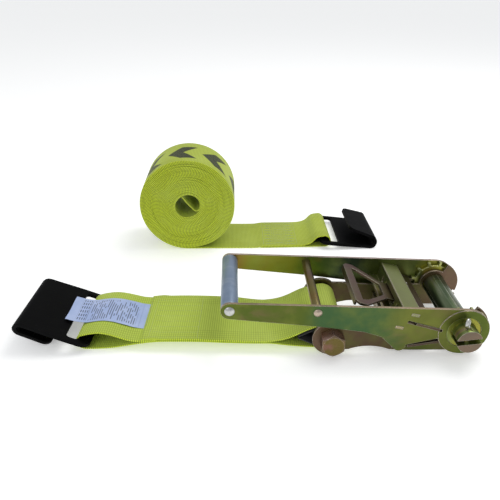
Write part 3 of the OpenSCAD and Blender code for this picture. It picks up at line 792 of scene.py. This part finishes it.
TURNS = 28.8
PITCH = 2.1         # from one turn to the next, millimetres
TURN_STEPS = 84     # points to a turn
roll_c = (roll_lo + roll_hi) / 2
roll_x, roll_z = (roll_c.x - hub.x) / MM, (roll_c.z - hub.z) / MM
roll_r = (roll_hi.x - roll_lo.x) / 2 / MM
outer_r = roll_r - PLY / 2
inner_r = outer_r - PITCH * TURNS


def long_place(x, y, z):
    return Vector((hub.x + x * MM, roll_c.y + y * MM, hub.z + z * MM))


# the roll, from its core to where it meets the floor: slightly oval near the core and a little uneven
spiral = []
steps = int(TURNS * TURN_STEPS)
for i in range(steps + 1):
    turn = TURNS * 2 * math.pi * (1 - i / steps)
    angle = -math.pi / 2 - turn
    r = outer_r - PITCH * turn / (2 * math.pi)
    inward = (1 - (r - inner_r) / (roll_r - inner_r)) ** 2.0
    r *= 1 + 0.055 * inward * math.cos(2 * (angle - math.radians(30)))
    uneven = noise.noise(Vector((math.cos(angle) * 1.6, math.sin(angle) * 1.6, turn * 0.05)))
    r += 0.35 * uneven * min(1.0, turn / 6.0)
    spiral.append(Vector((roll_x + r * math.cos(angle), roll_z + r * math.sin(angle))))

# the inner end folds back from the core's wall and lies across the hollow: a tight bend, then a nearly straight run
FOLD_STEP = 1.7
FOLD = [(-0.28, 7), (-0.01, 18)]    # radians to a step, and steps
head = spiral[0] - spiral[1]
heading = math.atan2(head.y, head.x)
inner_end = [spiral[0]]
for rate, count in FOLD:
    for _ in range(count):
        heading += rate
        inner_end.append(inner_end[-1] + Vector((math.cos(heading), math.sin(heading))) * FOLD_STEP)
inner_end.reverse()

# the laid-out end: along the floor, up over the sewn ply, round the hook's bar and back underneath
ground = (floor_z - hub.z) / MM
low = ground + 0.15 + PLY / 2
high = low + PLY + 0.05
ring_x, ring_z = (long_bar.x - hub.x) / MM, (long_bar.z - hub.z) / MM
run_out = [(roll_x + 30, low), (-300, low + 0.2), (-262, low + 0.1), (-250, low + 0.5), (-240, high),
           (-215, high + 0.1), (-176, high + 0.1), (-163, high + 1.4), (-153, high + 5.6),
           (ring_x - 13, ring_z + BAR_R - 2.4)]
run_out += arc(ring_x, ring_z, BAR_R, 105, -90, 13)
run_out += [(ring_x - 22, low + 0.05), (-190, low), (-243.5, low)]
rolled = inner_end[:-1] + spiral
laid_out = smooth_path([rolled[-1]] + run_out, 12, 2.6)[1:]
long_strap = strip("long_strap_webbing", rolled + laid_out, long_place, web_w, PLY - 0.12, web_long, across=4,
                   weave=1.5, seed=5.0)
dress(long_strap, "long_strap", "webbing", "long_strap_roll", "long_strap_tail")

# stitching of its sewn end: a row across each end, nine along it, and zigzags between those
SEAM_X0, SEAM_X1, SEAM_STEP = -235, -181, 11
upper_ply = [q for q in laid_out if q.y > low - 0.3]
rows = []
for x in (-238, -178):
    rows += seam(long_place, upper_ply, (x, -45), (x, 45), upright=True)
for k in range(9):
    y = -44 + SEAM_STEP * k
    ends = [(y, y)]
    if k < 8:
        ends += [(y, y + SEAM_STEP), (y + SEAM_STEP, y)]
    for y0, y1 in ends:
        rows += seam(long_place, upper_ply, (SEAM_X0, y0), (SEAM_X1, y1), upright=True)
dress(stitches("long_strap_stitching", rows, thread_pale, 0.45, 2.9), "long_strap", "webbing")

# ---------------------------------------------------------------- flat hooks

HOOK_T = 5.0                    # millimetres, as are the lengths below
PLATE_L = 81.0                  # from the bar's middle to the bend
TONGUE_L = 42.0
OPEN = math.radians(12)         # between the tongue and the plate
BEND_IN = 6.5                   # the bend's inner radius
BEND = BEND_IN + HOOK_T / 2
BAR_HALF = 8.0
BAR_CORNER, TIP_CORNER = 13.0, 11.0
SLOT_0, SLOT_1 = 2 * BAR_HALF, 33.0
SLOT_HALF, SLOT_CORNER = 52.5, 5.0
HALF_BAR, HALF_BEND, HALF_TIP = 60.0, 58.0, 46.0    # half widths
TURN = math.pi - OPEN
FLAT_END = PLATE_L + BAR_HALF   # the sheet's length from the bar's outer edge to the bend, and to the tip
SHEET_END = FLAT_END + BEND * TURN + TONGUE_L


def hook_sheet(u):
    """Where the plate's middle surface is at distance u from the bar's outer edge: (x, z)."""
    if u <= FLAT_END:
        return BAR_HALF - u, 0.0
    bent = min(u - FLAT_END, BEND * TURN)
    a = math.pi / 2 + bent / BEND
    past = u - FLAT_END - bent
    return -PLATE_L + BEND * math.cos(a) - math.sin(a) * past, -BEND + BEND * math.sin(a) + math.cos(a) * past


def rounding(d, r):
    """How far a rounded corner of radius r pulls an edge in at distance d from the end."""
    return r - math.sqrt(max(0.0, r * r - (r - d) ** 2)) if d < r else 0.0


def hook_half(u):
    """Half of the sheet's width at u: nearly straight to the bend, then a tapered tongue, with rounded corners."""
    half = HALF_BAR - (HALF_BAR - HALF_BEND) * ease((u - SLOT_1) / 60)
    taper = (u - FLAT_END - 6) / (SHEET_END - FLAT_END - 6)
    if taper > 0:
        half = HALF_BEND - (HALF_BEND - HALF_TIP) * min(1.0, taper) ** 0.85
    return half - rounding(u, BAR_CORNER) - rounding(SHEET_END - u, TIP_CORNER)


def flat_hook(name, to_row, body, cad_node):
    """A flat hook bent from one sheet, with its slot. to_row(x, y, z) places it."""
    us = [0.0, 0.25, 1.0, 2.4, 4.4, 7.0, 9.5, 12.5]
    us += [SLOT_0 + d for d in (0.0, 0.5, 1.6, 3.2, SLOT_CORNER)]
    us += [SLOT_1 - d for d in (SLOT_CORNER, 3.2, 1.6, 0.5, 0.0)]
    us += [SLOT_1 + (FLAT_END - SLOT_1) * i / 8 for i in range(1, 9)]
    us += [FLAT_END + (SHEET_END - 12 - FLAT_END) * i / 16 for i in range(1, 17)]
    us += [SHEET_END - d for d in (9.5, 7.2, 5.0, 3.2, 1.8, 0.8, 0.2, 0.0)]
    verts, faces = [], []
    per_side, middle = 3, 8
    for u in us:
        half = hook_half(u)
        x, z = hook_sheet(u)
        inset = 0.0
        if SLOT_0 <= u <= SLOT_1:
            inset = max(rounding(u - SLOT_0, SLOT_CORNER), rounding(SLOT_1 - u, SLOT_CORNER))
        edge = min(SLOT_HALF - inset, half - 1.5)
        ys = [-half + (half - edge) * i / per_side for i in range(per_side)]
        ys += [-edge + 2 * edge * i / middle for i in range(middle + 1)]
        ys += [edge + (half - edge) * (i + 1) / per_side for i in range(per_side)]
        verts += [to_row(x, y, z) for y in ys]
    m = 2 * per_side + middle + 1
    tiny = 1e-6
    for i in range(len(us) - 1):
        in_slot = us[i] >= SLOT_0 - tiny and us[i + 1] <= SLOT_1 + tiny
        for j in range(m - 1):
            if in_slot and per_side <= j < per_side + middle:
                continue
            faces.append((i * m + j, i * m + j + 1, (i + 1) * m + j + 1, (i + 1) * m + j))
    hook = add_mesh(name, verts, faces, paint_hook)
    solid = hook.modifiers.new("thickness", "SOLIDIFY")
    solid.thickness = HOOK_T * MM
    solid.offset = 0.0
    solid.use_even_offset = True
    add_bevel(hook, 1.5, 3, 50)
    dress(hook, body, "hook_paint", cad_node)


def hook_place(bar, yaw, tilt):
    turn = Matrix.Rotation(yaw, 3, "Z") @ Matrix.Rotation(tilt, 3, "Y")
    return lambda x, y, z: bar + turn @ (Vector((x, y, z)) * MM)


# the short strap's hook leans on the tip of its tongue, the long strap's lies turned over on its bend
CLEAR = 0.2     # above the floor
tip_back = PLATE_L - TONGUE_L * math.cos(OPEN) + (BEND_IN + HOOK_T) * math.sin(OPEN)
tip_drop = BEND + TONGUE_L * math.sin(OPEN) + (BEND_IN + HOOK_T) * math.cos(OPEN)
bar_up = (short_bar.z - floor_z) / MM - CLEAR
short_tilt = math.atan2(tip_drop, tip_back) - math.asin(bar_up / math.hypot(tip_back, tip_drop))
long_tilt = math.asin((bar_up - HOOK_T / 2) / PLATE_L)
flat_hook("short_strap_flat_hook", hook_place(short_bar, drift, short_tilt), "short_hook", "short_strap_hook")
flat_hook("long_strap_flat_hook", hook_place(long_bar, 0.0, math.pi + long_tilt), "long_hook", "long_strap_hook")

# ---------------------------------------------------------------- pawl springs

SPRING_TURNS = 10.5
SPRING_R, WIRE_R = 3.7, 0.72
SPRING_Y = 36.0         # on each side of the middle
ALONG_Y = Vector((0, 1, 0))

for label, body, length in (("drive", "handle", 31.5), ("lock", "frame", 31.0)):
    joint, node = f"{label}_pawl_slide", f"{label}_pawl_springs"
    lo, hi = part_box(node)
    mid = (lo + hi) / 2
    axis = Vector(joints[joint]["axis"]).normalized()
    up = axis.cross(ALONG_Y).normalized()
    if up.z < 0:
        up = -up
    for side, where in ((-1, "front"), (1, "back")):
        centre = Vector((mid.x, hub.y + side * SPRING_Y * MM, mid.z))
        points = []
        count = int(SPRING_TURNS * 16)
        for i in range(count + 1):
            f = i / count
            # the first and last turns are closed up, and 0.8 mm is left at each end for the wire's own thickness
            along = (ease(f) * 0.35 + f * 0.65 - 0.5) * (length - 1.6) * MM
            a = 2 * math.pi * SPRING_TURNS * f
            points.append(centre + axis * along + (up * math.cos(a) + ALONG_Y * math.sin(a)) * SPRING_R * MM)
        spring = tube(f"{label}_pawl_spring_{where}", points, WIRE_R * MM, spring_wire)
        dress(spring, body, "spring", *([node] if side > 0 else []))
        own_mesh(spring)

# ---------------------------------------------------------------- stage, light and camera

FLOOR_HALF = 12.0       # metres


def stage_material(name, colour, rough):
    """The floor glows a little, so that it looks white."""
    s = Shader(name)
    cloud = s.noise(2.0, 3.0, 0.5)
    tone = s.blend(s.mul(cloud, 0.06), colour, [c * 0.95 for c in colour])
    return s.finish(Base_Color=tone, Roughness=rough, Specular_IOR_Level=0.2, Emission_Color=(1.0, 1.0, 1.0),
                    Emission_Strength=0.34)


corners = [(x * FLOOR_HALF, y * FLOOR_HALF, floor_z - 0.0002) for x, y in ((-1, -1), (1, -1), (1, 1), (-1, 1))]
floor = add_mesh("stage_floor", corners, [(0, 1, 2, 3)], stage_material("stage_floor", (0.94, 0.94, 0.94), 0.8))
floor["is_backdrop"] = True

# a soft sky, a little darker towards the horizon
world = bpy.data.worlds.new("soft_studio")
world.use_nodes = True
tree = world.node_tree
tree.nodes.clear()
sky_out = tree.nodes.new("ShaderNodeOutputWorld")
sky = tree.nodes.new("ShaderNodeBackground")
sky_at = tree.nodes.new("ShaderNodeTexCoord")
sky_xyz = tree.nodes.new("ShaderNodeSeparateXYZ")
sky_ramp = tree.nodes.new("ShaderNodeValToRGB")
tree.links.new(sky_at.outputs["Generated"], sky_xyz.inputs[0])
tree.links.new(sky_xyz.outputs[2], sky_ramp.inputs[0])
tree.links.new(sky_ramp.outputs[0], sky.inputs[0])
tree.links.new(sky.outputs[0], sky_out.inputs[0])
for stop, at, colour in zip(sky_ramp.color_ramp.elements, (0.0, 0.6), ((0.78, 0.80, 0.84, 1), (0.97, 0.99, 1.0, 1))):
    stop.position = at
    stop.color = colour
sky.inputs[1].default_value = 0.58
scene = bpy.context.scene
scene.world = world


def area(name, offset, target, size, power, colour):
    """A round soft light at offset from its target."""
    light = bpy.data.lights.new(name, "AREA")
    light.shape = "DISK"
    light.size = size
    light.energy = power
    light.color = colour
    obj = bpy.data.objects.new(name, light)
    obj.location = target + Vector(offset)
    obj.rotation_mode = "QUATERNION"
    obj.rotation_quaternion = (-Vector(offset)).to_track_quat("-Z", "Y")
    scene.collection.objects.link(obj)


centre = (cad_lo + cad_hi) / 2
area("key", (0.9, 0.5, 1.9), centre, 1.4, 18.0, (1.0, 0.99, 0.97))
area("fill", (-1.1, -1.5, 1.2), centre, 1.2, 5.5, (0.95, 0.97, 1.0))

LOOK_DOWN, LOOK_RIGHT = 27.285, 1.589   # degrees
camera = bpy.data.cameras.new("camera")
camera.sensor_width = 36.0
camera.lens = 40.6
camera.clip_start, camera.clip_end = 0.01, 60.0
cam = bpy.data.objects.new("camera", camera)
cam.location = row(-287.6, -648.0, 421.0)
cam.rotation_euler = (math.radians(90 - LOOK_DOWN), 0.0, math.radians(-LOOK_RIGHT))
scene.collection.objects.link(cam)
scene.camera = cam
scene.view_settings.view_transform = "Standard"
scene.view_settings.exposure = 0.0

lo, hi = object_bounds()
